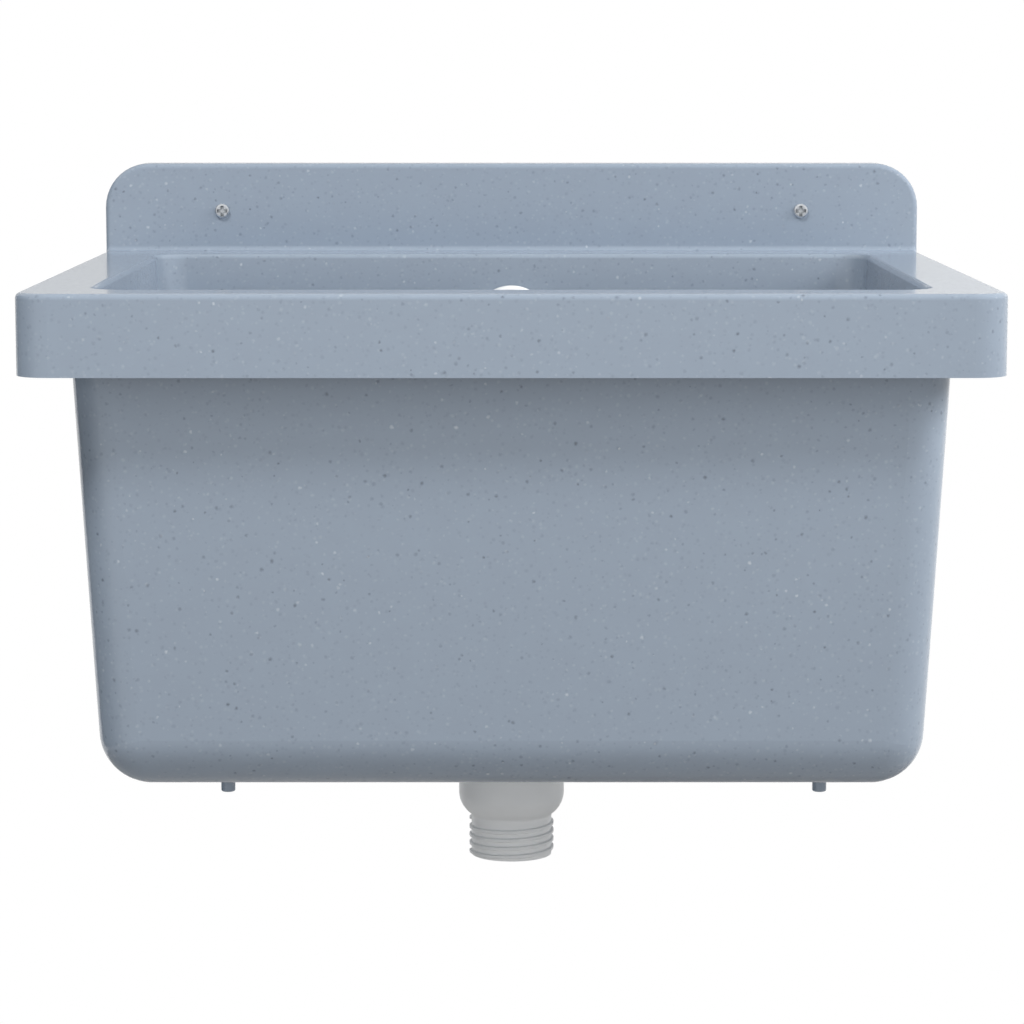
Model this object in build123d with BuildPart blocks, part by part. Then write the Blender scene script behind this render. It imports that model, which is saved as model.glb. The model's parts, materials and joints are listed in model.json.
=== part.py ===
# Wall-mounted utility sink: a moulded resin basin with its waste, overflow and wall screws.
# Millimetres. Z is up, the wall is the plane Y = 0 and the front of the sink faces -Y.
# The origin lies on the wall plane, midway between the two wall screws.
import os
from math import cos, radians, sin, tan

from build123d import *

# Rim and splash back
rim_width = 500.0
rim_depth = 420.0
apron_height = 42.0
apron_wall = 8.0
deck_thickness = 10.0
deck_below_screws = 24.5
rim_corner_radius = 18.0
edge_radius = 3.0
splash_height = 53.5
splash_thickness = 18.0
splash_corner_radius = 27.0
cove_radius = 3.0
pocket_depth = 8.0
pocket_margin = 12.0

# Bowl
deck_width = 36.0
ledge_width = 36.0
bowl_wall = 13.7
floor_thickness = 12.0
bowl_height = 261.0
draft = 2.93
opening_corner_radius = 17.0
mouth_radius = 3.0
bowl_corner_radius = 22.0
bowl_foot_radius = 29.0
floor_corner_radius = 12.0
rib_thickness = 5.0
rib_height = 24.0
gusset_thickness = 6.0
gusset_wall_height = 65.0
gusset_bowl_height = 117.0
peg_radius = 3.8
peg_length = 11.0
peg_left = -151.6
peg_right = 164.7
peg_set_back = 90.0
dish_depth = 2.5
dish_radius = 130.0

# Wall screws
screw_spacing = 356.0
screw_head_radius = 4.4
screw_head_height = 2.2
screw_neck_radius = 2.6
screw_stud_radius = 3.0
screw_core_radius = 2.1
screw_stud_length = 18.0
screw_thread_length = 24.0
screw_thread_pitch = 3.0
screw_recess_length = 6.4
screw_recess_width = 1.9
screw_recess_depth = 1.6
screw_recess_taper = 8.0
screw_hole_clearance = 0.3

# Waste
drain_set_back = 198.0
strainer_radius = 36.0
strainer_rim = 2.5
strainer_hole_radius = 3.5
strainer_hole_count = 10
seat_top_radius = 26.0
seat_bottom_radius = 22.6
seat_depth = 9.0
grid_thickness = 3.0
sleeve_wall = 0.9
sleeve_clearance = 0.5
recess_clearance = 0.5
gasket_inset = 0.5
gasket_clearance = 0.3
rim_gasket_thickness = 1.5
under_gasket_thickness = 3.0
body_flange_radius = 40.0
body_flange_thickness = 6.0
cup_wall = 2.35
cup_straight = 34.0
cup_arc_radius = 15.2
cup_neck_radius = 2.5
thread_below_neck = 1.5
tail_length = 70.1
tail_wall = 2.7
thread_radius = 23.9
thread_depth = 1.2
thread_pitch = 4.7
thread_root_width = 3.0
thread_crest_width = 1.4
thread_sink = 0.3
spider_rib = 3.0
boss_wall = 2.5
boss_drop = 8.0
boss_length = 18.0
insert_radius = 4.5
insert_length = 14.0
insert_clearance = 0.02
waste_screw_radius = 3.0
waste_screw_head_radius = 6.0
waste_screw_head_height = 2.0
fit_clearance = 0.05

# Plug
plug_lip_radius = 29.0
plug_lip_thickness = 3.0
plug_floor_gap = 2.0
plug_clearance = 0.4
eye_thickness = 4.0
eye_wall = 2.5
eye_tang_length = 8.0
eye_tang_share = 1.5
ring_wire_radius = 1.4
ring_half_width = 11.0
ring_reach = 18.0
ring_corner_radius = 2.8
ring_clearance = 0.08
ring_gap = 0.4

# Overflow
overflow_depth = 43.0
overflow_hole_radius = 16.0
rosette_radius = 24.0
rosette_thickness = 5.0
rosette_edge_radius = 3.5
rosette_slot_radius = 2.8
rosette_slot_count = 8
rosette_gasket_thickness = 1.5
rosette_skirt = 7.5
skirt_wall = 2.0
overflow_screw_radius = 2.5
overflow_screw_head_radius = 5.0
overflow_screw_head_height = 2.5
overflow_gasket_thickness = 2.5
overflow_insert_radius = 3.8
overflow_boss_wall = 1.7
elbow_flange_radius = 23.5
elbow_flange_thickness = 4.0
elbow_radius = 15.0
elbow_wall = 2.5
elbow_past_spigot = 14.2
elbow_boss_set_back = 8.0
elbow_drop = 44.0
pipe_radius = 9.0
pipe_bore_radius = 7.4
pipe_from_wall = 24.0
pipe_below_floor = 22.0
pipe_bend_radius = 34.0
spigot_wall = 3.0
spigot_reach = 60.0
socket_depth = 14.0
socket_gap = 0.3
seal_thickness = 3.0
nut_radius = 16.0
nut_sides = 10
nut_grip = 8.0
nut_end_wall = 3.0

# Levels and places that follow from the sizes above
deck = -deck_below_screws
apron_bottom = deck - apron_height
splash_top = deck + splash_height
floor_under = deck - bowl_height
floor_top = floor_under + floor_thickness
slope = tan(radians(draft))
opening_half = rim_width / 2 - deck_width
opening_front = -rim_depth + deck_width
opening_back = -splash_thickness - ledge_width
opening_length = opening_back - opening_front
opening_mid = (opening_back + opening_front) / 2
drain_y = -rim_depth + drain_set_back
strainer_top = floor_top - dish_depth
grid_top = strainer_top - seat_depth
grid_under = grid_top - grid_thickness
sleeve_radius = seat_top_radius + sleeve_wall
cup_inner = sleeve_radius + sleeve_clearance
cup_radius = cup_inner + cup_wall
thread_root = thread_radius - thread_depth
tail_bore_radius = thread_root - tail_wall
plug_depth = seat_depth - plug_floor_gap
body_top = floor_under - under_gasket_thickness
tail_end = floor_under - tail_length
pipe_level = floor_under - pipe_below_floor
overflow_z = deck - overflow_depth
wall_across = bowl_wall * cos(radians(draft))
inner_face = (0, opening_back - overflow_depth * slope, overflow_z)
into_bowl = (0, -cos(radians(draft)), sin(radians(draft)))
overflow_in = Plane(origin=inner_face, x_dir=(1, 0, 0), z_dir=into_bowl)
overflow_side = Plane(
    origin=inner_face, x_dir=(1, 0, 0), z_dir=(0, -sin(radians(draft)), -cos(radians(draft)))
)
overflow_axis = Axis(inner_face, into_bowl)
drain_side = Plane.XZ.offset(-drain_y)
drain_axis = Axis((0, drain_y, 0), (0, 0, 1))
screw_places = [(-screw_spacing / 2, 0), (screw_spacing / 2, 0)]
spigot_radius = pipe_radius + fit_clearance + spigot_wall
elbow_end = overflow_z - elbow_drop
spigot_end = drain_y + spigot_reach

os.makedirs("parts", exist_ok=True)


# Space inside the bowl
with BuildPart() as bowl_space:
    with BuildSketch(Plane.XY.offset(deck)):
        with Locations((0, opening_mid)):
            Rectangle(2 * opening_half, opening_length)
    extrude(amount=-(bowl_height - floor_thickness), taper=draft)
    at_corner = bowl_space.edges().filter_by(
        lambda e: abs(e.center().X) > opening_half / 2
        and abs(e.center().Y - opening_mid) > opening_length / 4
    )
    fillet(at_corner, opening_corner_radius)
    fillet(bowl_space.faces().sort_by(Axis.Z)[0].edges(), floor_corner_radius)

# Outside of the bowl, from half way down the deck
start_drop = deck_thickness / 2
bowl_half = opening_half + bowl_wall - start_drop * slope
bowl_length = opening_length + 2 * bowl_wall - 2 * start_drop * slope
with BuildPart() as bowl_shape:
    with BuildSketch(Plane.XY.offset(deck - start_drop)):
        with Locations((0, opening_mid)):
            Rectangle(2 * bowl_half, bowl_length)
    extrude(amount=-(bowl_height - start_drop), taper=draft)
    fillet(bowl_shape.faces().sort_by(Axis.Z)[0].edges(), bowl_foot_radius)
    # Upright corners, down to where their curved ends meet the floor
    at_corner = bowl_shape.edges().filter_by(
        lambda e: abs(e.center().X) > bowl_half / 2
        and abs(e.center().Y - opening_mid) > bowl_length / 4
    )
    fillet(at_corner, bowl_corner_radius)

# Basin: rim, apron, splash back and bowl in one moulding
with BuildPart() as basin:
    with BuildSketch(Plane.YZ.offset(-rim_width / 2)):
        with BuildLine():
            Polyline(
                (-splash_thickness - cove_radius, deck),
                (-rim_depth, deck),
                (-rim_depth, apron_bottom),
                (0, apron_bottom),
                (0, splash_top),
                (-splash_thickness, splash_top),
                (-splash_thickness, deck + cove_radius),
            )
            CenterArc((-splash_thickness - cove_radius, deck + cove_radius), cove_radius, 270, 90)
        make_face()
    extrude(amount=rim_width)
    fillet(basin.edges().filter_by(Axis.Z).group_by(Axis.Y)[0], rim_corner_radius)
    fillet(basin.edges().filter_by(Axis.Y).group_by(Axis.Z)[-1], splash_corner_radius)
    # The edge that runs round the deck and up round the splash back
    upper = basin.edges().filter_by(lambda e: e.center().Z > deck - 1 and e.center().Y < -1)
    seams = upper.filter_by(Axis.Y).filter_by(lambda e: e.center().Z > deck + 1)
    creases = upper.filter_by(Axis.X).filter_by(
        lambda e: -rim_depth + 1 < e.center().Y and e.center().Z < splash_top - 1
    )
    fillet([e for e in upper if e not in seams and e not in creases], edge_radius)
    # Hollow under the deck, open to the wall
    with BuildSketch(Plane.XY.offset(apron_bottom)):
        with Locations((0, -rim_depth / 2 + apron_wall / 2 + rim_corner_radius / 2)):
            RectangleRounded(
                rim_width - 2 * apron_wall,
                rim_depth - apron_wall + rim_corner_radius,
                rim_corner_radius - apron_wall,
            )
    extrude(amount=apron_height - deck_thickness, mode=Mode.SUBTRACT)
    # Stiffening ribs between the apron and the bowl
    rib_z = deck - deck_thickness - rib_height / 2
    rib_reach = deck_width - apron_wall / 2 - bowl_wall / 2
    for side in (-1, 1):
        rib_x = side * (rim_width / 2 - apron_wall / 2 - rib_reach / 2)
        with Locations(
            (rib_x, opening_mid - opening_length / 4, rib_z),
            (rib_x, opening_mid + opening_length / 4, rib_z),
        ):
            Box(rib_reach, rib_thickness, rib_height)
    rib_y = -rim_depth + apron_wall / 2 + rib_reach / 2
    with Locations((-opening_half / 2, rib_y, rib_z), (opening_half / 2, rib_y, rib_z)):
        Box(rib_thickness, rib_reach, rib_height)
    # Gussets that bear on the wall below the screws
    mid_wall = opening_back + bowl_wall / 2
    for side in (-1, 1):
        with BuildSketch(Plane.YZ.offset(side * screw_spacing / 2)):
            Polygon(
                (mid_wall, deck - deck_thickness / 2),
                (0, deck - deck_thickness / 2),
                (0, deck - gusset_wall_height),
                (mid_wall - gusset_bowl_height * slope, deck - gusset_bowl_height),
                align=None,
            )
        extrude(amount=gusset_thickness / 2, both=True)
    add(bowl_shape.part)
    add(bowl_space.part, mode=Mode.SUBTRACT)
    mouth = basin.edges().filter_by_position(Axis.Z, deck - 0.01, deck + 0.01)
    mouth = mouth.filter_by(lambda e: abs(e.center().X) < opening_half + 1)
    mouth = mouth.filter_by(lambda e: opening_front - 1 < e.center().Y < opening_back + 1)
    fillet(mouth, mouth_radius)
    # Pockets in the back of the splash back, with a rib at each screw and one between
    pocket_height = splash_height - pocket_margin
    pocket_z = deck + pocket_height / 2
    inner_pocket = (screw_spacing - 2 * pocket_margin) / 2 - pocket_margin
    outer_pocket = (rim_width - screw_spacing) / 2 - 2 * pocket_margin
    with BuildSketch(Plane.XZ):
        for side in (-1, 1):
            with Locations((side * (pocket_margin / 2 + inner_pocket / 2), pocket_z)):
                RectangleRounded(inner_pocket, pocket_height, edge_radius)
            with Locations((side * (screw_spacing / 2 + pocket_margin + outer_pocket / 2), pocket_z)):
                RectangleRounded(outer_pocket, pocket_height, edge_radius)
    extrude(amount=pocket_depth, mode=Mode.SUBTRACT)
    with BuildSketch(Plane.XZ):
        with Locations(*screw_places):
            Circle(screw_stud_radius + screw_hole_clearance)
    extrude(amount=2 * splash_thickness, mode=Mode.SUBTRACT)
    # Pegs under the floor
    peg_y = -rim_depth + peg_set_back
    with BuildSketch(Plane.XY.offset(floor_under)):
        with Locations((peg_left, peg_y), (peg_right, peg_y)):
            Circle(peg_radius)
    extrude(amount=-peg_length)
    fillet(basin.faces().sort_by(Axis.Z)[0:2].edges(), peg_radius / 4)
    # Fall to the waste, recess for its rim and hole through the floor
    with Locations((0, drain_y, floor_top - dish_depth / 2)):
        Cone(strainer_radius + recess_clearance, dish_radius, dish_depth, mode=Mode.SUBTRACT)
    with BuildSketch(Plane.XY.offset(strainer_top)):
        with Locations((0, drain_y)):
            Circle(strainer_radius + recess_clearance)
    extrude(amount=-(rim_gasket_thickness + strainer_rim), mode=Mode.SUBTRACT)
    with BuildSketch(Plane.XY.offset(strainer_top)):
        with Locations((0, drain_y)):
            Circle(sleeve_radius + sleeve_clearance)
    extrude(amount=-floor_thickness, mode=Mode.SUBTRACT)
    # Overflow hole through the back wall
    with BuildSketch(overflow_in):
        Circle(overflow_hole_radius)
    extrude(amount=-2 * wall_across, mode=Mode.SUBTRACT)
basin.part.label = "basin"
export_step(basin.part, "parts/basin.step")

# Wall screws: pan heads with a cross recess, a plain stud at the wall and a threaded end
with BuildPart() as wall_screws:
    head_y = -splash_thickness
    thread_start = screw_stud_length
    thread_end = screw_stud_length + screw_thread_length
    for place in screw_places:
        with BuildSketch(Plane.XY):
            with BuildLine():
                Polyline(
                    (place[0], head_y - screw_head_height),
                    (place[0] + screw_head_radius, head_y - screw_head_height),
                    (place[0] + screw_head_radius, head_y),
                    (place[0] + screw_neck_radius, head_y),
                    (place[0] + screw_neck_radius, 0),
                    (place[0] + screw_stud_radius, 0),
                    (place[0] + screw_stud_radius, thread_start),
                    (place[0] + screw_core_radius, thread_start),
                    (place[0] + screw_core_radius, thread_end),
                    (place[0], thread_end + 2 * screw_core_radius),
                    (place[0], head_y - screw_head_height),
                )
            make_face()
        revolve(axis=Axis((place[0], 0, 0), (0, 1, 0)))
    heads = wall_screws.edges().filter_by(GeomType.CIRCLE).group_by(Axis.Y)[0]
    fillet(heads, screw_head_height / 2)
    with BuildSketch(Plane.XZ.offset(splash_thickness + screw_head_height)):
        with Locations(*screw_places):
            Rectangle(screw_recess_length, screw_recess_width)
            Rectangle(screw_recess_width, screw_recess_length)
    extrude(amount=-screw_recess_depth, taper=screw_recess_taper, mode=Mode.SUBTRACT)
    # Thread ridges, one turn short at each end of the core
    for place in screw_places:
        with BuildLine() as screw_helix:
            Helix(
                screw_thread_pitch,
                screw_thread_length - 2 * screw_thread_pitch,
                screw_core_radius,
                center=(place[0], thread_start + screw_thread_pitch, 0),
                direction=(0, 1, 0),
            )
        start = screw_helix.line @ 0
        outward = start - Vector(place[0], start.Y, 0)
        with BuildSketch(Plane(origin=start, x_dir=outward, z_dir=screw_helix.line % 0)):
            Polygon(
                (-thread_sink, -screw_thread_pitch / 4),
                (screw_stud_radius - screw_core_radius, 0),
                (-thread_sink, screw_thread_pitch / 4),
                align=None,
            )
        sweep(path=screw_helix.line, is_frenet=True)
wall_screws.part.label = "wall_screws"
export_step(wall_screws.part, "parts/wall_screws.step")

# Strainer: rim, tapered seat for the plug and a grid at the bottom
with BuildPart() as drain_strainer:
    with BuildSketch(drain_side):
        with BuildLine():
            Polyline(
                (0, grid_top),
                (seat_bottom_radius, grid_top),
                (seat_top_radius, strainer_top),
                (strainer_radius, strainer_top),
                (strainer_radius, strainer_top - strainer_rim),
                (sleeve_radius, strainer_top - strainer_rim),
                (sleeve_radius, grid_under),
                (0, grid_under),
                (0, grid_top),
            )
        make_face()
    revolve(axis=drain_axis)
    fillet(drain_strainer.edges().group_by(Axis.Z)[-1].sort_by(SortBy.RADIUS)[-1], strainer_rim / 2)
    with BuildSketch(Plane.XY.offset(grid_top)):
        with Locations((0, drain_y)):
            with PolarLocations((waste_screw_head_radius + seat_bottom_radius) / 2, strainer_hole_count):
                Circle(strainer_hole_radius)
            Circle(waste_screw_radius + screw_hole_clearance)
    extrude(amount=-grid_thickness, mode=Mode.SUBTRACT)
    with Locations((0, drain_y, grid_top - waste_screw_head_height / 2)):
        Cone(
            waste_screw_radius + fit_clearance,
            waste_screw_head_radius + fit_clearance,
            waste_screw_head_height,
            mode=Mode.SUBTRACT,
        )
drain_strainer.part.label = "drain_strainer"
export_step(drain_strainer.part, "parts/drain_strainer.step")

# Rubber ring under the strainer's rim
with BuildPart() as strainer_gasket:
    with BuildSketch(Plane.XY.offset(strainer_top - strainer_rim)):
        with Locations((0, drain_y)):
            Circle(strainer_radius - gasket_inset)
            Circle(sleeve_radius + gasket_clearance, mode=Mode.SUBTRACT)
    extrude(amount=-rim_gasket_thickness)
strainer_gasket.part.label = "strainer_gasket"
export_step(strainer_gasket.part, "parts/strainer_gasket.step")

# Rubber ring between the floor and the waste body
with BuildPart() as drain_gasket:
    with BuildSketch(Plane.XY.offset(floor_under)):
        with Locations((0, drain_y)):
            Circle(body_flange_radius - gasket_inset)
            Circle(sleeve_radius + gasket_clearance, mode=Mode.SUBTRACT)
    extrude(amount=-under_gasket_thickness)
drain_gasket.part.label = "drain_gasket"
export_step(drain_gasket.part, "parts/drain_gasket.step")

# Coarse right-hand thread for the tail of the waste body, up to the blend under the cup
cup_arc_level = floor_under - cup_straight
cup_arc_across = cup_arc_radius - (cup_radius - thread_root)
cup_arc_drop = (cup_arc_radius**2 - cup_arc_across**2) ** 0.5
neck_level = cup_arc_level - cup_arc_drop
thread_top = neck_level - thread_below_neck
with BuildPart() as tail_thread:
    with BuildLine() as tail_helix:
        Helix(
            thread_pitch,
            thread_top - tail_end - thread_root_width,
            thread_root,
            center=(0, drain_y, tail_end + thread_root_width / 2),
        )
    with BuildSketch(Plane(origin=tail_helix.line @ 0, x_dir=(1, 0, 0), z_dir=tail_helix.line % 0)):
        Polygon(
            (-thread_sink, -thread_root_width / 2),
            (thread_depth, -thread_crest_width / 2),
            (thread_depth, thread_crest_width / 2),
            (-thread_sink, thread_root_width / 2),
            align=None,
        )
    sweep(path=tail_helix.line, is_frenet=True)

# Waste body: clamping flange, cup, overflow spigot and threaded tail
with BuildPart() as drain_body:
    with BuildSketch(drain_side):
        with BuildLine():
            Polyline(
                (cup_radius, cup_arc_level),
                (cup_radius, body_top - body_flange_thickness),
                (body_flange_radius, body_top - body_flange_thickness),
                (body_flange_radius, body_top),
                (0, body_top),
                (0, tail_end),
                (thread_root, tail_end),
                (thread_root, neck_level),
            )
            RadiusArc((thread_root, neck_level), (cup_radius, cup_arc_level), -cup_arc_radius)
        make_face()
    revolve(axis=drain_axis)
    fillet(drain_body.edges().filter_by_position(Axis.Z, neck_level, neck_level), cup_neck_radius)
    with BuildSketch(drain_side):
        with Locations((0, pipe_level)):
            Circle(spigot_radius)
    extrude(amount=-spigot_reach)
    with BuildSketch(drain_side):
        with BuildLine():
            Polyline(
                (0, body_top),
                (cup_inner, body_top),
                (cup_inner, cup_arc_level),
                (tail_bore_radius, neck_level),
                (tail_bore_radius, tail_end),
                (0, tail_end),
                (0, body_top),
            )
        make_face()
    revolve(axis=drain_axis, mode=Mode.SUBTRACT)
    # Overflow way into the cup and socket for the pipe
    with BuildSketch(Plane.XZ.offset(-spigot_end)):
        with Locations((0, pipe_level)):
            Circle(pipe_bore_radius)
    extrude(amount=spigot_reach - cup_inner / 2, mode=Mode.SUBTRACT)
    with BuildSketch(Plane.XZ.offset(-spigot_end)):
        with Locations((0, pipe_level)):
            Circle(pipe_radius + fit_clearance)
    extrude(amount=socket_depth, mode=Mode.SUBTRACT)
    # The thread starts at the left
    add(tail_thread.part.rotate(drain_axis, 180))
drain_body.part.label = "drain_body"
export_step(drain_body.part, "parts/drain_body.step")

# Spider that carries the boss for the clamping screw, welded into the cup of the waste body
boss_top = min(body_top, grid_under) - boss_drop
with BuildPart() as drain_spider:
    with BuildSketch(Plane.XY.offset(boss_top)):
        with Locations((0, drain_y)):
            Circle(insert_radius + boss_wall)
            with PolarLocations(cup_inner / 2, 3, start_angle=30):
                Rectangle(cup_inner, spider_rib)
            Circle(cup_inner - insert_clearance, mode=Mode.INTERSECT)
    extrude(amount=-boss_length)
    with BuildSketch(Plane.XY.offset(boss_top)):
        with Locations((0, drain_y)):
            Circle(insert_radius + insert_clearance)
    extrude(amount=-insert_length, mode=Mode.SUBTRACT)
drain_spider.part.label = "drain_spider"
export_step(drain_spider.part, "parts/drain_spider.step")

# Brass threaded insert in the boss of the spider
with BuildPart() as drain_insert:
    with BuildSketch(Plane.XY.offset(boss_top)):
        with Locations((0, drain_y)):
            Circle(insert_radius)
            Circle(waste_screw_radius + fit_clearance, mode=Mode.SUBTRACT)
    extrude(amount=-insert_length)
drain_insert.part.label = "drain_insert"
export_step(drain_insert.part, "parts/drain_insert.step")

# Countersunk screw that clamps the strainer to the waste body
with BuildPart() as drain_screw:
    screw_tip = boss_top - insert_length
    with BuildSketch(drain_side):
        with BuildLine():
            Polyline(
                (0, grid_top),
                (waste_screw_head_radius, grid_top),
                (waste_screw_radius, grid_top - waste_screw_head_height),
                (waste_screw_radius, screw_tip + waste_screw_radius),
                (0, screw_tip + waste_screw_radius / 2),
                (0, grid_top),
            )
        make_face()
    revolve(axis=drain_axis)
    with BuildSketch(Plane.XY.offset(grid_top)):
        with Locations((0, drain_y)):
            Rectangle(screw_recess_length, screw_recess_width)
            Rectangle(screw_recess_width, screw_recess_length)
    extrude(amount=-screw_recess_depth, taper=screw_recess_taper, mode=Mode.SUBTRACT)
drain_screw.part.label = "drain_screw"
export_step(drain_screw.part, "parts/drain_screw.step")

# Steel eye moulded into the plug
plug_top = strainer_top + plug_lip_thickness
eye_z = plug_top + ring_wire_radius + ring_gap
eye_radius = ring_wire_radius + ring_clearance + eye_wall
with BuildPart() as plug_eye:
    with BuildSketch(Plane.YZ):
        with Locations((drain_y, eye_z)):
            Circle(eye_radius)
        with Locations((drain_y, eye_z - eye_tang_length / 2)):
            Rectangle(eye_tang_share * eye_radius, eye_tang_length)
        with Locations((drain_y, eye_z)):
            Circle(ring_wire_radius + ring_clearance, mode=Mode.SUBTRACT)
    extrude(amount=eye_thickness / 2, both=True)
plug_eye.part.label = "plug_eye"
export_step(plug_eye.part, "parts/plug_eye.step")

# Rubber plug with a lip that rests on the strainer's rim
with BuildPart() as drain_plug:
    with BuildSketch(drain_side):
        with BuildLine():
            Polyline(
                (0, plug_top),
                (plug_lip_radius, plug_top),
                (plug_lip_radius, strainer_top),
                (seat_top_radius - plug_clearance, strainer_top),
                (
                    seat_top_radius
                    - plug_clearance
                    - plug_depth * (seat_top_radius - seat_bottom_radius) / seat_depth,
                    strainer_top - plug_depth,
                ),
                (0, strainer_top - plug_depth),
                (0, plug_top),
            )
        make_face()
    revolve(axis=drain_axis)
    fillet(drain_plug.edges().group_by(Axis.Z)[-1], plug_lip_thickness / 2)
    add(plug_eye.part, mode=Mode.SUBTRACT)
drain_plug.part.label = "drain_plug"
export_step(drain_plug.part, "parts/drain_plug.step")

# Steel pull ring through the eye, lying forward on the plug
with BuildPart() as plug_ring:
    arm_y = drain_y - ring_reach + ring_half_width
    with BuildLine(Plane.XY.offset(eye_z)) as ring_path:
        FilletPolyline(
            (-ring_half_width, arm_y),
            (-ring_half_width, drain_y),
            (ring_half_width, drain_y),
            (ring_half_width, arm_y),
            radius=ring_corner_radius,
        )
        ThreePointArc(
            (ring_half_width, arm_y), (0, drain_y - ring_reach), (-ring_half_width, arm_y)
        )
    with BuildSketch(Plane(origin=(-ring_half_width, arm_y, eye_z), x_dir=(1, 0, 0), z_dir=(0, 1, 0))):
        Circle(ring_wire_radius)
    sweep(path=ring_path.line)
plug_ring.part.label = "plug_ring"
export_step(plug_ring.part, "parts/plug_ring.step")

# Overflow rosette with its skirt in the hole of the back wall
rosette_back = rosette_gasket_thickness
rosette_front = rosette_back + rosette_thickness
skirt_radius = overflow_hole_radius - sleeve_clearance
skirt_bore = skirt_radius - skirt_wall
screw_hole = overflow_screw_radius + fit_clearance
screw_cone = overflow_screw_head_radius + fit_clearance
with BuildPart() as overflow_rosette:
    with BuildSketch(overflow_side):
        with BuildLine():
            Polyline(
                (rosette_radius, rosette_front - rosette_edge_radius),
                (rosette_radius, rosette_back),
                (skirt_radius, rosette_back),
                (skirt_radius, rosette_back - rosette_skirt),
                (skirt_bore, rosette_back - rosette_skirt),
                (skirt_bore, rosette_back),
                (screw_hole, rosette_back),
                (screw_hole, rosette_front - overflow_screw_head_height),
                (screw_cone, rosette_front),
                (rosette_radius - rosette_edge_radius, rosette_front),
            )
            CenterArc(
                (rosette_radius - rosette_edge_radius, rosette_front - rosette_edge_radius),
                rosette_edge_radius,
                0,
                90,
            )
        make_face()
    revolve(axis=overflow_axis)
    with BuildSketch(overflow_in.offset(rosette_front)):
        with PolarLocations((skirt_bore + screw_cone) / 2, rosette_slot_count):
            Circle(rosette_slot_radius)
    extrude(amount=-rosette_thickness, mode=Mode.SUBTRACT)
overflow_rosette.part.label = "overflow_rosette"
export_step(overflow_rosette.part, "parts/overflow_rosette.step")

# Rubber ring between the rosette and the wall of the bowl
with BuildPart() as rosette_gasket:
    with BuildSketch(overflow_in):
        Circle(rosette_radius - gasket_inset)
        Circle(overflow_hole_radius + gasket_clearance, mode=Mode.SUBTRACT)
    extrude(amount=rosette_gasket_thickness)
rosette_gasket.part.label = "rosette_gasket"
export_step(rosette_gasket.part, "parts/rosette_gasket.step")

# Rubber ring between the bowl and the elbow behind it
with BuildPart() as overflow_gasket:
    with BuildSketch(overflow_in.offset(-wall_across)):
        Circle(elbow_flange_radius - gasket_inset)
        Circle(overflow_hole_radius + gasket_clearance, mode=Mode.SUBTRACT)
    extrude(amount=-overflow_gasket_thickness)
overflow_gasket.part.label = "overflow_gasket"
export_step(overflow_gasket.part, "parts/overflow_gasket.step")

# Overflow elbow: flange, chamber, boss for the screw and a spigot that points down
elbow_front = -wall_across - overflow_gasket_thickness
elbow_back = (inner_face[1] + pipe_from_wall) / cos(radians(draft)) - elbow_past_spigot
elbow_inner = elbow_radius - elbow_wall
elbow_boss_front = elbow_front - elbow_boss_set_back
with BuildPart() as overflow_elbow:
    with BuildSketch(overflow_side):
        with BuildLine():
            Polyline(
                (0, elbow_front),
                (elbow_flange_radius, elbow_front),
                (elbow_flange_radius, elbow_front - elbow_flange_thickness),
                (elbow_radius, elbow_front - elbow_flange_thickness),
                (elbow_radius, elbow_back),
                (0, elbow_back),
                (0, elbow_front),
            )
        make_face()
    revolve(axis=overflow_axis)
    with BuildSketch(Plane.XY.offset(elbow_end)):
        with Locations((0, -pipe_from_wall)):
            Circle(spigot_radius)
    extrude(amount=elbow_drop)
    with BuildSketch(overflow_in.offset(elbow_front)):
        Circle(elbow_inner)
    extrude(amount=elbow_back + elbow_wall - elbow_front, mode=Mode.SUBTRACT)
    with BuildSketch(overflow_in.offset(elbow_boss_front)):
        Circle(overflow_insert_radius + overflow_boss_wall)
    extrude(amount=elbow_back - elbow_boss_front)
    with BuildSketch(overflow_in.offset(elbow_boss_front)):
        Circle(overflow_insert_radius + insert_clearance)
    extrude(amount=-insert_length, mode=Mode.SUBTRACT)
    with BuildSketch(Plane.XY.offset(elbow_end)):
        with Locations((0, -pipe_from_wall)):
            Circle(pipe_bore_radius)
    extrude(amount=elbow_drop - elbow_inner + elbow_wall, mode=Mode.SUBTRACT)
    with BuildSketch(Plane.XY.offset(elbow_end)):
        with Locations((0, -pipe_from_wall)):
            Circle(pipe_radius + fit_clearance)
    extrude(amount=socket_depth, mode=Mode.SUBTRACT)
overflow_elbow.part.label = "overflow_elbow"
export_step(overflow_elbow.part, "parts/overflow_elbow.step")

# Brass threaded insert in the boss of the elbow
with BuildPart() as overflow_insert:
    with BuildSketch(overflow_in.offset(elbow_boss_front)):
        Circle(overflow_insert_radius)
        Circle(overflow_screw_radius + fit_clearance, mode=Mode.SUBTRACT)
    extrude(amount=-insert_length)
overflow_insert.part.label = "overflow_insert"
export_step(overflow_insert.part, "parts/overflow_insert.step")

# Countersunk screw that clamps the rosette to the elbow
with BuildPart() as overflow_screw:
    screw_tip = elbow_boss_front - insert_length + overflow_screw_radius / 2
    with BuildSketch(overflow_side):
        with BuildLine():
            Polyline(
                (0, rosette_front),
                (overflow_screw_head_radius, rosette_front),
                (overflow_screw_radius, rosette_front - overflow_screw_head_height),
                (overflow_screw_radius, screw_tip + overflow_screw_radius / 2),
                (0, screw_tip),
                (0, rosette_front),
            )
        make_face()
    revolve(axis=overflow_axis)
    with BuildSketch(overflow_in.offset(rosette_front)):
        Rectangle(screw_recess_length, screw_recess_width)
        Rectangle(screw_recess_width, screw_recess_length)
    extrude(amount=-screw_recess_depth, taper=screw_recess_taper, mode=Mode.SUBTRACT)
overflow_screw.part.label = "overflow_screw"
export_step(overflow_screw.part, "parts/overflow_screw.step")

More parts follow.
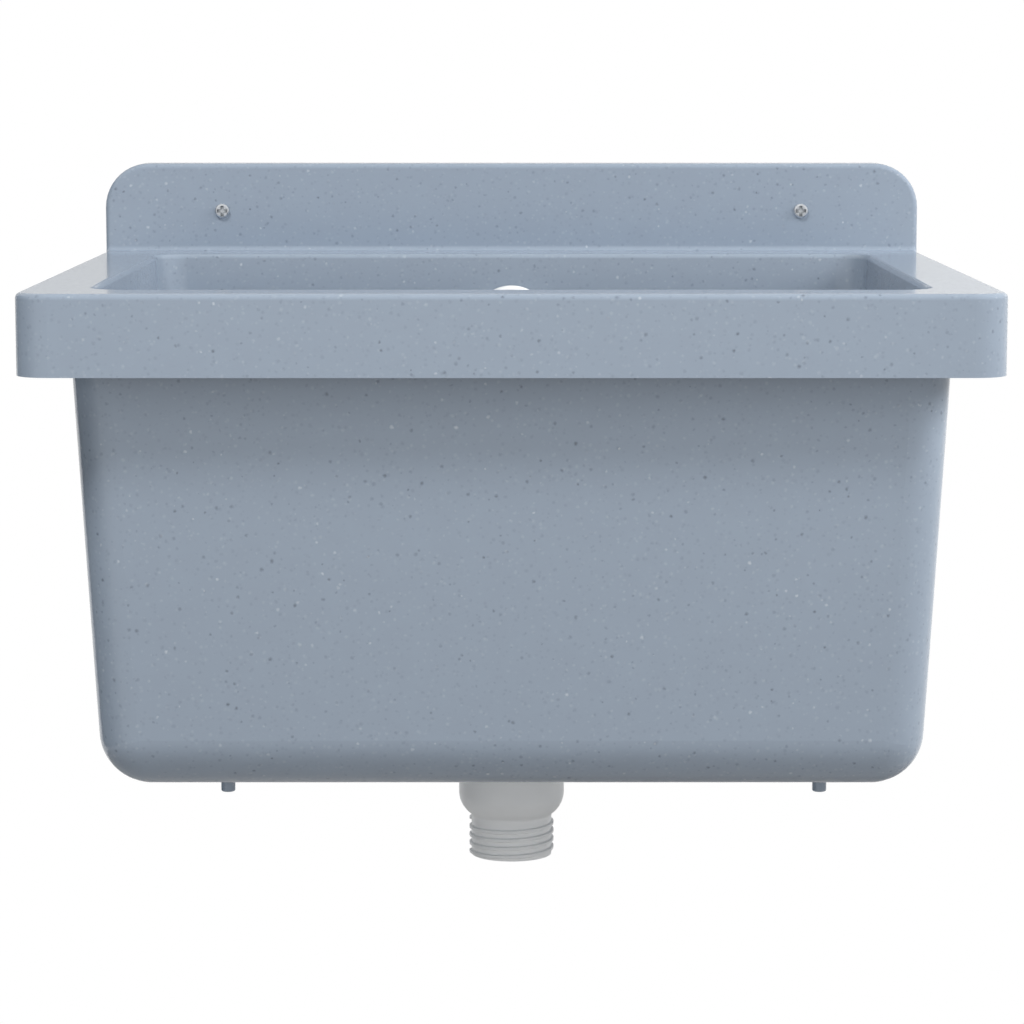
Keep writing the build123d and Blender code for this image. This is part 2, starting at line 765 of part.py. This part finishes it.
# Overflow pipe: down behind the bowl and forward under its floor to the waste body
with BuildPart() as overflow_pipe:
    pipe_top = elbow_end + socket_depth - socket_gap
    bend_y = -pipe_from_wall - pipe_bend_radius
    with BuildLine(Plane.YZ) as pipe_path:
        Line((-pipe_from_wall, pipe_top), (-pipe_from_wall, pipe_level + pipe_bend_radius))
        RadiusArc(
            (-pipe_from_wall, pipe_level + pipe_bend_radius), (bend_y, pipe_level), pipe_bend_radius
        )
        Line((bend_y, pipe_level), (spigot_end - socket_depth + socket_gap, pipe_level))
    with BuildSketch(Plane.XY.offset(pipe_top)):
        with Locations((0, -pipe_from_wall)):
            Circle(pipe_radius)
            Circle(pipe_bore_radius, mode=Mode.SUBTRACT)
    sweep(path=pipe_path.line)
overflow_pipe.part.label = "overflow_pipe"
export_step(overflow_pipe.part, "parts/overflow_pipe.step")

# Union nuts at the two ends of the overflow pipe
upper_mouth = Plane(origin=(0, -pipe_from_wall, elbow_end), x_dir=(1, 0, 0), z_dir=(0, 0, -1))
lower_mouth = Plane(origin=(0, spigot_end, pipe_level), x_dir=(1, 0, 0), z_dir=(0, 1, 0))
with BuildPart() as overflow_nuts:
    for mouth_plane in (upper_mouth, lower_mouth):
        with BuildSketch(mouth_plane.offset(-nut_grip)):
            RegularPolygon(nut_radius, nut_sides)
            Circle(spigot_radius + fit_clearance, mode=Mode.SUBTRACT)
        extrude(amount=nut_grip + seal_thickness)
        with BuildSketch(mouth_plane.offset(seal_thickness)):
            RegularPolygon(nut_radius, nut_sides)
            Circle(pipe_radius + screw_hole_clearance, mode=Mode.SUBTRACT)
        extrude(amount=nut_end_wall)
overflow_nuts.part.label = "overflow_nuts"
export_step(overflow_nuts.part, "parts/overflow_nuts.step")

# Rubber seals that the nuts press on the pipe
with BuildPart() as overflow_seals:
    for mouth_plane in (upper_mouth, lower_mouth):
        with BuildSketch(mouth_plane):
            Circle(spigot_radius)
            Circle(pipe_radius, mode=Mode.SUBTRACT)
        extrude(amount=seal_thickness)
overflow_seals.part.label = "overflow_seals"
export_step(overflow_seals.part, "parts/overflow_seals.step")
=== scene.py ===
# %% [markdown]
# Wall-mounted utility sink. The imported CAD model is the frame: its solids already have the true
# shape of the moulded basin, the waste and the overflow, so this lesson keeps them and gives
# them their finishes, a studio and a camera.

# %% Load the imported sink
import json
import math

import bpy
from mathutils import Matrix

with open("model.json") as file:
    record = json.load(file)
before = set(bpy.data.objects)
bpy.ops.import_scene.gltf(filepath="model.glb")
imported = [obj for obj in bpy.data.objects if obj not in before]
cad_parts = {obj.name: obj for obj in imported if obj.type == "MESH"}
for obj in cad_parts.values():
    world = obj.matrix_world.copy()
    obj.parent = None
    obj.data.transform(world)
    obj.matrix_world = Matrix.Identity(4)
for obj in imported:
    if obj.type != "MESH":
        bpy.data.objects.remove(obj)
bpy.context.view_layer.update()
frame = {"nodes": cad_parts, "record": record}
sink_nodes = frame["nodes"]
print("nodes:", ", ".join(sorted(sink_nodes)))

# %% [markdown]
# The sink is seen from straight in front, a little above the rim, from about two metres away. A
# camera could be aimed by eye, but its height, tilt and focal length set how much of the deck
# and of the bowl shows over the front rim. So these were fitted together, until the outlines of
# rim, splash back and bowl fell in the right places. A new camera looks straight down, and a
# quarter turn about X makes it level.

# %% Camera
IMAGE_WIDTH_PX = 1024
SENSOR_MM = 36.0
FOCAL_PX = 3372.0
CAMERA_PLACE = (0.0, -2.1005, 0.0875)
LEVEL_DEG = 90
TILT_DOWN_DEG = 7.51
VIEW_OFF_CENTRE_PX = 0.5

bpy.ops.object.select_all(action="DESELECT")
bpy.ops.object.camera_add(
    location=CAMERA_PLACE, rotation=(math.radians(LEVEL_DEG - TILT_DOWN_DEG), 0, 0)
)
camera = bpy.context.object
camera.name = "front_camera"
camera.data.sensor_width = SENSOR_MM
camera.data.lens = FOCAL_PX / IMAGE_WIDTH_PX * SENSOR_MM
camera.data.shift_x = VIEW_OFF_CENTRE_PX / IMAGE_WIDTH_PX
bpy.context.scene.camera = camera
bpy.context.scene.view_settings.view_transform = "Standard"
print("lens:", round(camera.data.lens, 1), "mm")

# %% [markdown]
# Every finish is a small tree of nodes. Two helpers keep the trees short: one turns an sRGB hex
# colour into the linear values that Blender mixes, and one adds a node with its settings, its
# constant inputs and its links in one go.

# %% Colour and node helpers
MM = 0.001


def linear(hex_colour):
    """An sRGB hex colour as linear red, green, blue and full alpha, by the standard sRGB curve."""
    channels = [int(hex_colour[i : i + 2], 16) / 255 for i in (1, 3, 5)]
    return [c / 12.92 if c <= 0.04045 else ((c + 0.055) / 1.055) ** 2.4 for c in channels] + [1.0]


def add_node(tree, kind, values=None, links=None, **settings):
    """A new node with these settings, constant inputs and links."""
    node = tree.nodes.new(kind)
    for name, value in settings.items():
        setattr(node, name, value)
    for socket, value in (values or {}).items():
        node.inputs[socket].default_value = value
    for socket, source in (links or {}).items():
        tree.links.new(source, node.inputs[socket])
    return node


print("sRGB #808080 is linear", [round(c, 3) for c in linear("#808080")])

# %% [markdown]
# Each finish starts from the piece's own Object coordinates and ends in one shader. On most real
# surfaces the same fine texture breaks both the gloss and the flatness, so a third helper lets
# one texture set the roughness and a shallow bump. A pixel of this view covers 0.5 to 0.6 mm of
# the sink. A texture finer than that is drawn coarser, so that it shows, and a comment beside
# its size says so.

# %% Start, skin and close of a finish


def start_finish(name):
    """A new finish with its empty tree and the place of each point on the piece."""
    finish = bpy.data.materials.new(name)
    finish.use_nodes = True
    tree = finish.node_tree
    tree.nodes.clear()
    place = add_node(tree, "ShaderNodeTexCoord").outputs["Object"]
    return finish, tree, place


def skin_links(tree, texture, roughness, bump_strength, bump_mm):
    """Shader links for a skin whose roughness and bump both follow this texture."""
    smoothest, roughest = roughness
    gloss = add_node(
        tree,
        "ShaderNodeMapRange",
        values={"To Min": smoothest, "To Max": roughest},
        links={"Value": texture},
    )
    relief = add_node(
        tree,
        "ShaderNodeBump",
        values={"Strength": bump_strength, "Distance": bump_mm * MM},
        links={"Height": texture},
    )
    return {"Roughness": gloss.outputs["Result"], "Normal": relief.outputs["Normal"]}


def close_finish(finish, values, links):
    """The finish's shader, with these constant inputs and links, wired to the output."""
    tree = finish.node_tree
    shader = add_node(tree, "ShaderNodeBsdfPrincipled", values=values, links=links)
    add_node(tree, "ShaderNodeOutputMaterial", links={"Surface": shader.outputs["BSDF"]})
    print("finish:", finish.name, "nodes:", len(tree.nodes))


print("a pixel at the wall covers", round(-CAMERA_PLACE[1] / FOCAL_PX / MM, 2), "mm")

# %% [markdown]
# The basin is a moulded, mineral-filled resin sold as granite effect: a blue-grey body with fine
# dark grains and a few white ones, and a smooth gelled surface that reflects the room. The
# grains could be a picture wrapped round the basin, but a picture needs seams. Voronoi cells
# fill space instead: each cell holds one grain, and the surface cuts through the ones it meets,
# as a moulding's skin does. A cell's own colour follows the place of its grain, so on a flat face
# all grains would look alike: white noise makes an independent draw from it for each grain.

# %% Granite-effect resin: the grains
# Distances from a grain's middle, as parts of its reach: full tone inside the core, none past the fade.
GRAIN_CORE = 0.25
GRAIN_FADE = 1.1


def grains(tree, place, cell_mm, grain_mm, share, strength):
    """A mask with grains in this share of the cells, up to grain_mm across and up to this strength."""
    cells = add_node(
        tree, "ShaderNodeTexVoronoi", values={"Scale": 1 / (cell_mm * MM)}, links={"Vector": place}
    )
    draw = add_node(tree, "ShaderNodeTexWhiteNoise", links={"Vector": cells.outputs["Color"]})
    chance = add_node(tree, "ShaderNodeSeparateColor", links={"Color": draw.outputs["Color"]})
    largest = grain_mm / 2 / cell_mm
    reach = add_node(
        tree,
        "ShaderNodeMapRange",
        values={"To Min": largest / 2, "To Max": largest},
        links={"Value": chance.outputs["Red"]},
    )
    measured = add_node(
        tree,
        "ShaderNodeMath",
        operation="DIVIDE",
        links={0: cells.outputs["Distance"], 1: reach.outputs["Result"]},
    )
    edge = add_node(
        tree,
        "ShaderNodeMapRange",
        values={"From Min": GRAIN_CORE, "From Max": GRAIN_FADE, "To Min": 1.0, "To Max": 0.0},
        links={"Value": measured.outputs["Value"]},
    )
    depth = add_node(
        tree,
        "ShaderNodeMapRange",
        values={"From Min": 1 - share, "To Max": strength},
        links={"Value": chance.outputs["Green"]},
    )
    return add_node(
        tree,
        "ShaderNodeMath",
        operation="MULTIPLY",
        links={0: edge.outputs["Result"], 1: depth.outputs["Result"]},
    ).outputs["Value"]


print("grains keep their full tone to", GRAIN_CORE, "of their reach")

# %% [markdown]
# Real grains are crushed, not round. So the place at which the cells are read wobbles by about a
# millimetre, which dents their edges. Four sets of grains lie over each other: a dense faint one
# and a sparse strong one, both in dark and in white. The body drifts slowly between two close
# blue-greys, and the gelled skin has a very shallow ripple.

# %% Granite-effect resin: body colour, gloss and skin
RESIN_BODY = "#8F9BAA"
RESIN_CLOUD = "#93A0AF"
DARK_GRAIN = "#4C535E"
WHITE_GRAIN = "#EEF1F4"
CLOUD_MM = 14.0
WOBBLE_SPACING_MM = 1.6
WOBBLE_MM = 1.2
RIPPLE_MM = 3.0

granite_resin, tree, place = start_finish("granite_effect_resin")
wobble = add_node(
    tree,
    "ShaderNodeTexNoise",
    values={"Scale": 1 / (WOBBLE_SPACING_MM * MM), "Detail": 1.0},
    links={"Vector": place},
)
grain_place = add_node(
    tree,
    "ShaderNodeVectorMath",
    operation="MULTIPLY_ADD",
    values={1: (WOBBLE_MM * MM, WOBBLE_MM * MM, WOBBLE_MM * MM)},
    links={0: wobble.outputs["Color"], 2: place},
).outputs["Vector"]
cloud = add_node(
    tree,
    "ShaderNodeTexNoise",
    values={"Scale": 1 / (CLOUD_MM * MM), "Detail": 3.0},
    links={"Vector": place},
)
colour = add_node(
    tree,
    "ShaderNodeMix",
    data_type="RGBA",
    values={"A": linear(RESIN_BODY), "B": linear(RESIN_CLOUD)},
    links={"Factor": cloud.outputs["Fac"]},
).outputs["Result"]
for grain_colour, cell_mm, grain_mm, share, strength in (
    (DARK_GRAIN, 3.0, 2.6, 0.9, 0.18),
    (DARK_GRAIN, 5.2, 2.5, 0.8, 0.65),
    (WHITE_GRAIN, 3.2, 2.6, 0.9, 0.09),
    (WHITE_GRAIN, 8.0, 2.4, 0.9, 0.38),
):
    colour = add_node(
        tree,
        "ShaderNodeMix",
        data_type="RGBA",
        values={"B": linear(grain_colour)},
        links={"Factor": grains(tree, grain_place, cell_mm, grain_mm, share, strength), "A": colour},
    ).outputs["Result"]
ripple = add_node(
    tree,
    "ShaderNodeTexNoise",
    values={"Scale": 1 / (RIPPLE_MM * MM), "Detail": 2.0},
    links={"Vector": place},
)
resin_skin = skin_links(
    tree, ripple.outputs["Fac"], roughness=(0.1, 0.18), bump_strength=0.06, bump_mm=0.05
)
close_finish(granite_resin, values={"IOR": 1.5}, links={"Base Color": colour, **resin_skin})

# %% [markdown]
# The waste, the overflow and its pipe are injection-moulded polypropylene: off-white, a little
# waxy, with a satin skin. The eye reads it as plastic because the gloss is broken by the fine
# texture of the mould, so the roughness and a shallow bump share one fine noise, and a slow
# noise lets the white drift slightly, as thick and thin walls do.

# %% White polypropylene
PLASTIC_THIN = "#EAECED"
PLASTIC_THICK = "#F3F4F4"
DRIFT_MM = 18.0
# The texture of a mould is about 0.1 mm. It is drawn coarser so that it shows.
MOULD_TEXTURE_MM = 0.7

white_plastic, tree, place = start_finish("white_polypropylene")
drift = add_node(
    tree,
    "ShaderNodeTexNoise",
    values={"Scale": 1 / (DRIFT_MM * MM), "Detail": 2.0},
    links={"Vector": place},
)
mould = add_node(
    tree,
    "ShaderNodeTexNoise",
    values={"Scale": 1 / (MOULD_TEXTURE_MM * MM), "Detail": 2.0},
    links={"Vector": place},
)
white = add_node(
    tree,
    "ShaderNodeMix",
    data_type="RGBA",
    values={"A": linear(PLASTIC_THIN), "B": linear(PLASTIC_THICK)},
    links={"Factor": drift.outputs["Fac"]},
)
plastic_skin = skin_links(
    tree, mould.outputs["Fac"], roughness=(0.3, 0.46), bump_strength=0.15, bump_mm=0.03
)
close_finish(
    white_plastic,
    values={"IOR": 1.49},
    links={"Base Color": white.outputs["Result"], **plastic_skin},
)

# %% [markdown]
# Screws, eye and pull ring are bright zinc-plated steel. Zinc is laid on in a bath, so it has no
# brush lines: it shows a faint crystal spangle and a slightly uneven gloss. Small Voronoi cells
# give that spangle, and a finer noise breaks the gloss. Shade is painted into the cross recess of
# a screw head: the closer in a spot is, the nearer its tone comes to a painted dark grey.

# %% Zinc-plated steel
ZINC_DULL = "#D6D9DC"
ZINC_BRIGHT = "#E6E8EA"
# Painted shade: the dark grey painted into the cross recess of a screw head.
ZINC_PAINTED_RECESS_SHADE = "#868A8E"
# The crystals and the uneven gloss are finer than 0.1 mm. Both are drawn coarser so that they show.
SPANGLE_MM = 0.9
BATH_MM = 0.4
RECESS_MM = 2.0
# Painted shade is full at or below the first openness and gone at or above the second.
FULL_PAINTED_SHADE_OPENNESS = 0.3
NO_PAINTED_SHADE_OPENNESS = 0.75

zinc_steel, tree, place = start_finish("zinc_plated_steel")
spangle = add_node(
    tree, "ShaderNodeTexVoronoi", values={"Scale": 1 / (SPANGLE_MM * MM)}, links={"Vector": place}
)
spangle_tone = add_node(tree, "ShaderNodeSeparateColor", links={"Color": spangle.outputs["Color"]})
zinc = add_node(
    tree,
    "ShaderNodeMix",
    data_type="RGBA",
    values={"A": linear(ZINC_DULL), "B": linear(ZINC_BRIGHT)},
    links={"Factor": spangle_tone.outputs["Red"]},
)
# Painted shade: an ambient occlusion node darkens the zinc's colour where a spot is closed in, as in the
# cross recess.
openness = add_node(
    tree, "ShaderNodeAmbientOcclusion", values={"Distance": RECESS_MM * MM}, only_local=True
)
unshaded_share = add_node(
    tree,
    "ShaderNodeMapRange",
    values={"From Min": FULL_PAINTED_SHADE_OPENNESS, "From Max": NO_PAINTED_SHADE_OPENNESS},
    links={"Value": openness.outputs["AO"]},
)
zinc_with_painted_shade = add_node(
    tree,
    "ShaderNodeMix",
    data_type="RGBA",
    values={"A": linear(ZINC_PAINTED_RECESS_SHADE)},
    links={"Factor": unshaded_share.outputs["Result"], "B": zinc.outputs["Result"]},
)
bath = add_node(
    tree,
    "ShaderNodeTexNoise",
    values={"Scale": 1 / (BATH_MM * MM), "Detail": 2.0},
    links={"Vector": place},
)
zinc_skin = skin_links(
    tree, bath.outputs["Fac"], roughness=(0.34, 0.5), bump_strength=0.1, bump_mm=0.02
)
close_finish(
    zinc_steel,
    values={"Metallic": 1.0},
    links={"Base Color": zinc_with_painted_shade.outputs["Result"], **zinc_skin},
)

# %% [markdown]
# The two threaded inserts are turned brass. A lathe leaves fine rings round the axis, so tone,
# gloss and relief follow rings. A wave texture round each insert's own axis would need two
# placings. Diagonal bands cross the axes of both and show as tool marks on bores and ends, so
# they are used. Along an axis, a diagonal wave of scale 1 repeats every 2 pi / 10.

# %% Turned brass
BRASS_DARK = "#C9A45A"
BRASS_BRIGHT = "#D9B974"
WAVE_LENGTH_AT_SCALE_1 = 2 * math.pi / 10
# Tool marks are about 0.1 mm apart. They are drawn coarser so that they show.
TOOL_MARK_MM = 0.5

brass, tree, place = start_finish("turned_brass")
tool_marks = add_node(
    tree,
    "ShaderNodeTexWave",
    values={"Scale": WAVE_LENGTH_AT_SCALE_1 / (TOOL_MARK_MM * MM), "Distortion": 0.6, "Detail": 2.0},
    links={"Vector": place},
    bands_direction="DIAGONAL",
)
brass_tone = add_node(
    tree,
    "ShaderNodeMix",
    data_type="RGBA",
    values={"A": linear(BRASS_DARK), "B": linear(BRASS_BRIGHT)},
    links={"Factor": tool_marks.outputs["Fac"]},
)
brass_skin = skin_links(
    tree, tool_marks.outputs["Fac"], roughness=(0.22, 0.38), bump_strength=0.2, bump_mm=0.02
)
close_finish(
    brass,
    values={"Metallic": 1.0},
    links={"Base Color": brass_tone.outputs["Result"], **brass_skin},
)

# %% [markdown]
# The seals are black rubber and the plug is grey rubber. Moulded rubber is matt with a fine
# bloom of dust in its pores, so both share one recipe: a speckled tone, a high roughness and a
# shallow grain. One function makes both, from two colours each.

# %% Black and grey rubber
# Pores are about 0.1 mm. They are drawn coarser so that they show.
PORE_MM = 0.8


def moulded_rubber(name, dark, bloom):
    """A matt rubber finish that is speckled between these two tones."""
    finish, tree, place = start_finish(name)
    pores = add_node(
        tree,
        "ShaderNodeTexNoise",
        values={"Scale": 1 / (PORE_MM * MM), "Detail": 4.0},
        links={"Vector": place},
    )
    tone = add_node(
        tree,
        "ShaderNodeMix",
        data_type="RGBA",
        values={"A": linear(dark), "B": linear(bloom)},
        links={"Factor": pores.outputs["Fac"]},
    )
    rubber_skin = skin_links(
        tree, pores.outputs["Fac"], roughness=(0.55, 0.75), bump_strength=0.25, bump_mm=0.05
    )
    close_finish(finish, values={"IOR": 1.5}, links={"Base Color": tone.outputs["Result"], **rubber_skin})
    return finish


black_rubber = moulded_rubber("black_rubber_seal", dark="#1E1F20", bloom="#2E2F31")
grey_rubber = moulded_rubber("grey_rubber_plug", dark="#64676A", bloom="#75787B")

# %% [markdown]
# The frame's nodes carry plain stand-in colours. Each node's record names its material slot, so
# one table from slot to finish dresses every node, and none can be forgotten.

# %% Dress the frame
finishes = {
    "granite_resin": granite_resin,
    "white_plastic": white_plastic,
    "zinc_steel": zinc_steel,
    "brass": brass,
    "black_rubber": black_rubber,
    "grey_rubber": grey_rubber,
}
for subpart in frame["record"]["subparts"]:
    dressed = sink_nodes[subpart["node"]]
    for slot in dressed.material_slots:
        slot.material = finishes[subpart["material_slot"]]
    print(subpart["node"], "wears", dressed.material_slots[0].material.name)

# %% [markdown]
# The studio is plain: a pale floor as far below the rim as a sink hangs, a white room, two cards
# and four lamps. The floor looks pale to the camera and in reflections, but bounces less light
# than it shows, so that the underside of the sink keeps its shade.

# %% Floor
FLOOR_DROP = 0.85
FLOOR_FORWARD = 0.2
FLOOR_RADIUS = 1.3
FLOOR_SIDES = 96
FLOOR_PALE = "#E6E6E6"
FLOOR_PALEST = "#E9E9E9"
FLOOR_BOUNCE = "#808080"
PAPER_CLOUD_MM = 30.0
PAPER_MATT = {"Roughness": 0.9, "IOR": 1.3}

bpy.ops.object.select_all(action="DESELECT")
bpy.ops.mesh.primitive_circle_add(
    vertices=FLOOR_SIDES,
    radius=FLOOR_RADIUS,
    fill_type="NGON",
    location=(0, -FLOOR_FORWARD, -FLOOR_DROP),
)
floor = bpy.context.object
floor.name = "studio_floor"
floor_finish, tree, place = start_finish("pale_studio_floor")
paper = add_node(
    tree,
    "ShaderNodeTexNoise",
    values={"Scale": 1 / (PAPER_CLOUD_MM * MM), "Detail": 3.0},
    links={"Vector": place},
)
pale = add_node(
    tree,
    "ShaderNodeMix",
    data_type="RGBA",
    values={"A": linear(FLOOR_PALE), "B": linear(FLOOR_PALEST)},
    links={"Factor": paper.outputs["Fac"]},
)
ray = add_node(tree, "ShaderNodeLightPath")
seen = add_node(
    tree,
    "ShaderNodeMath",
    operation="MAXIMUM",
    links={0: ray.outputs["Is Camera Ray"], 1: ray.outputs["Is Glossy Ray"]},
)
floor_tone = add_node(
    tree,
    "ShaderNodeMix",
    data_type="RGBA",
    values={"A": linear(FLOOR_BOUNCE)},
    links={"Factor": seen.outputs["Value"], "B": pale.outputs["Result"]},
)
close_finish(floor_finish, values=PAPER_MATT, links={"Base Color": floor_tone.outputs["Result"]})
floor.data.materials.append(floor_finish)

# %% [markdown]
# The room's white reaches the camera and the reflections at full strength, while the surfaces get
# the light of its walls and floor and none from the ceiling, so the background is white and the
# basin keeps its own tone. One could also light everything with the room alone, but then the
# apron would throw no shadow on the bowl. Heights in the room are the upward part of a direction:
# -1 is straight down, 0 is level and 1 is straight up.

# %% White room
ROOM_FLOOR_LIGHT = 0.63
ROOM_WALL_LIGHT = 0.69
FLOOR_ENDS, WALLS_START = -0.4, -0.1
WALLS_END, CEILING_STARTS = 0.1, 0.4
WHITE_LIGHT = (1.0, 1.0, 1.0, 1.0)

room = bpy.data.worlds.new("white_room")
room.use_nodes = True
bpy.context.scene.world = room
tree = room.node_tree
tree.nodes.clear()
ray = add_node(tree, "ShaderNodeLightPath")
seen_or_mirrored = add_node(
    tree,
    "ShaderNodeMath",
    operation="MAXIMUM",
    links={0: ray.outputs["Is Camera Ray"], 1: ray.outputs["Is Glossy Ray"]},
)
shown_white = add_node(
    tree,
    "ShaderNodeMath",
    operation="MAXIMUM",
    links={0: seen_or_mirrored.outputs["Value"], 1: ray.outputs["Is Transmission Ray"]},
)
heading = add_node(tree, "ShaderNodeTexCoord")
height = add_node(tree, "ShaderNodeSeparateXYZ", links={"Vector": heading.outputs["Generated"]})
low_part = add_node(
    tree,
    "ShaderNodeMapRange",
    values={
        "From Min": FLOOR_ENDS,
        "From Max": WALLS_START,
        "To Min": ROOM_FLOOR_LIGHT,
        "To Max": ROOM_WALL_LIGHT,
    },
    links={"Value": height.outputs["Z"]},
)
below_ceiling = add_node(
    tree,
    "ShaderNodeMapRange",
    values={"From Min": WALLS_END, "From Max": CEILING_STARTS, "To Min": 1.0, "To Max": 0.0},
    links={"Value": height.outputs["Z"]},
)
room_strength = add_node(
    tree,
    "ShaderNodeMath",
    operation="MULTIPLY",
    links={0: low_part.outputs["Result"], 1: below_ceiling.outputs["Result"]},
)
room_light = add_node(
    tree,
    "ShaderNodeBackground",
    values={"Color": WHITE_LIGHT},
    links={"Strength": room_strength.outputs["Value"]},
)
room_white = add_node(tree, "ShaderNodeBackground", values={"Color": WHITE_LIGHT, "Strength": 1.0})
room_mix = add_node(
    tree,
    "ShaderNodeMixShader",
    links={
        0: shown_white.outputs["Value"],
        1: room_light.outputs["Background"],
        2: room_white.outputs["Background"],
    },
)
add_node(tree, "ShaderNodeOutputWorld", links={"Surface": room_mix.outputs["Shader"]})
print("room: walls", ROOM_WALL_LIGHT, "floor", ROOM_FLOOR_LIGHT)

# %% [markdown]
# A glossy moulding shows its surroundings in every rounded corner, and even more on the deck,
# which is seen almost edge-on. In a white room all corners would gleam alike and the deck would
# glare. A photographer shapes such a body with cards: a dark one on the left makes the left
# corners darker than the right ones, and a pale one behind takes the glare off the deck. A card's
# edge would show as a line in the gloss, so its paint fades in from one end to the middle. The
# cards work in the reflections only: they take no light from the sink and cast no shadow.

# %% Cards
# A new plane is one unit wide, so on its own X axis a card ends here and has its middle at 0.
CARD_END = -0.5
CARD_MIDDLE = 0.0
UPRIGHT = math.radians(90)


def stand_card(name, centre, turn, size, end_tone, full_tone):
    """A card, as wide and as high as size, with its full tone from the middle on, for reflections only."""
    bpy.ops.object.select_all(action="DESELECT")
    bpy.ops.mesh.primitive_plane_add(size=1.0, location=centre, rotation=(UPRIGHT, 0, turn))
    card = bpy.context.object
    card.name = name
    card.scale = (*size, 1.0)
    finish, tree, place = start_finish(name + "_paint")
    along = add_node(tree, "ShaderNodeSeparateXYZ", links={"Vector": place})
    fade = add_node(
        tree,
        "ShaderNodeMapRange",
        values={"From Min": CARD_END, "From Max": CARD_MIDDLE},
        links={"Value": along.outputs["X"]},
        interpolation_type="SMOOTHSTEP",
    )
    tone = add_node(
        tree,
        "ShaderNodeMix",
        data_type="RGBA",
        values={"A": linear(end_tone), "B": linear(full_tone)},
        links={"Factor": fade.outputs["Result"]},
    )
    close_finish(finish, values=PAPER_MATT, links={"Base Color": tone.outputs["Result"]})
    card.data.materials.append(finish)
    card.visible_camera = False
    card.visible_diffuse = False
    card.visible_shadow = False
    print(name, size, "m, at", centre)


stand_card(
    "dark_card_left",
    centre=(-1.4, -0.3, -0.05),
    turn=math.radians(90),
    size=(2.3, 1.6),
    end_tone="#E8E8E8",
    full_tone="#404040",
)
stand_card(
    "pale_card_behind",
    centre=(0.0, 0.9, 0.3),
    turn=0.0,
    size=(3.0, 1.0),
    end_tone="#DCDCDC",
    full_tone="#E2E2E2",
)

# %% [markdown]
# The key lamp stands high on the left. It is the smallest, because the apron's shadow has an edge
# that still shows on the bowl's wall. A wide lamp on the right opens that shadow, a weak one in
# front lifts the waste, and the one beside the sink puts the pale line down its right edges.
# Diffusers hide the shape of such lamps in the gloss, so none of them shows in the reflections.
# A new lamp shines straight down, so each is tipped up towards its aim and then turned to it.

# %% Lamps
LAMP_AIM = (0.0, -0.28, -0.15)

for lamp_name, watts, size, lamp_place in (
    ("key_lamp_high_left", 47.7, (0.6, 0.6), (-0.9, -1.5, 2.1)),
    ("fill_lamp_right", 25.1, (1.4, 1.2), (1.6, -1.9, 1.2)),
    ("low_lamp_front", 3.7, (1.2, 0.8), (0.0, -2.2, 0.2)),
    ("edge_lamp_right", 29.5, (1.0, 1.0), (1.8, -0.3, 0.85)),
):
    bpy.ops.object.select_all(action="DESELECT")
    bpy.ops.object.light_add(type="AREA", location=lamp_place)
    lamp = bpy.context.object
    lamp.name = lamp_name
    lamp.data.shape = "RECTANGLE"
    lamp.data.size, lamp.data.size_y = size
    lamp.data.energy = watts
    lamp.visible_glossy = False
    across, away, rise = [aim - start for start, aim in zip(lamp_place, LAMP_AIM)]
    lamp.rotation_euler = (math.atan2(math.hypot(across, away), -rise), 0, math.atan2(-across, away))
    print(lamp_name, watts, "W, from", lamp_place)
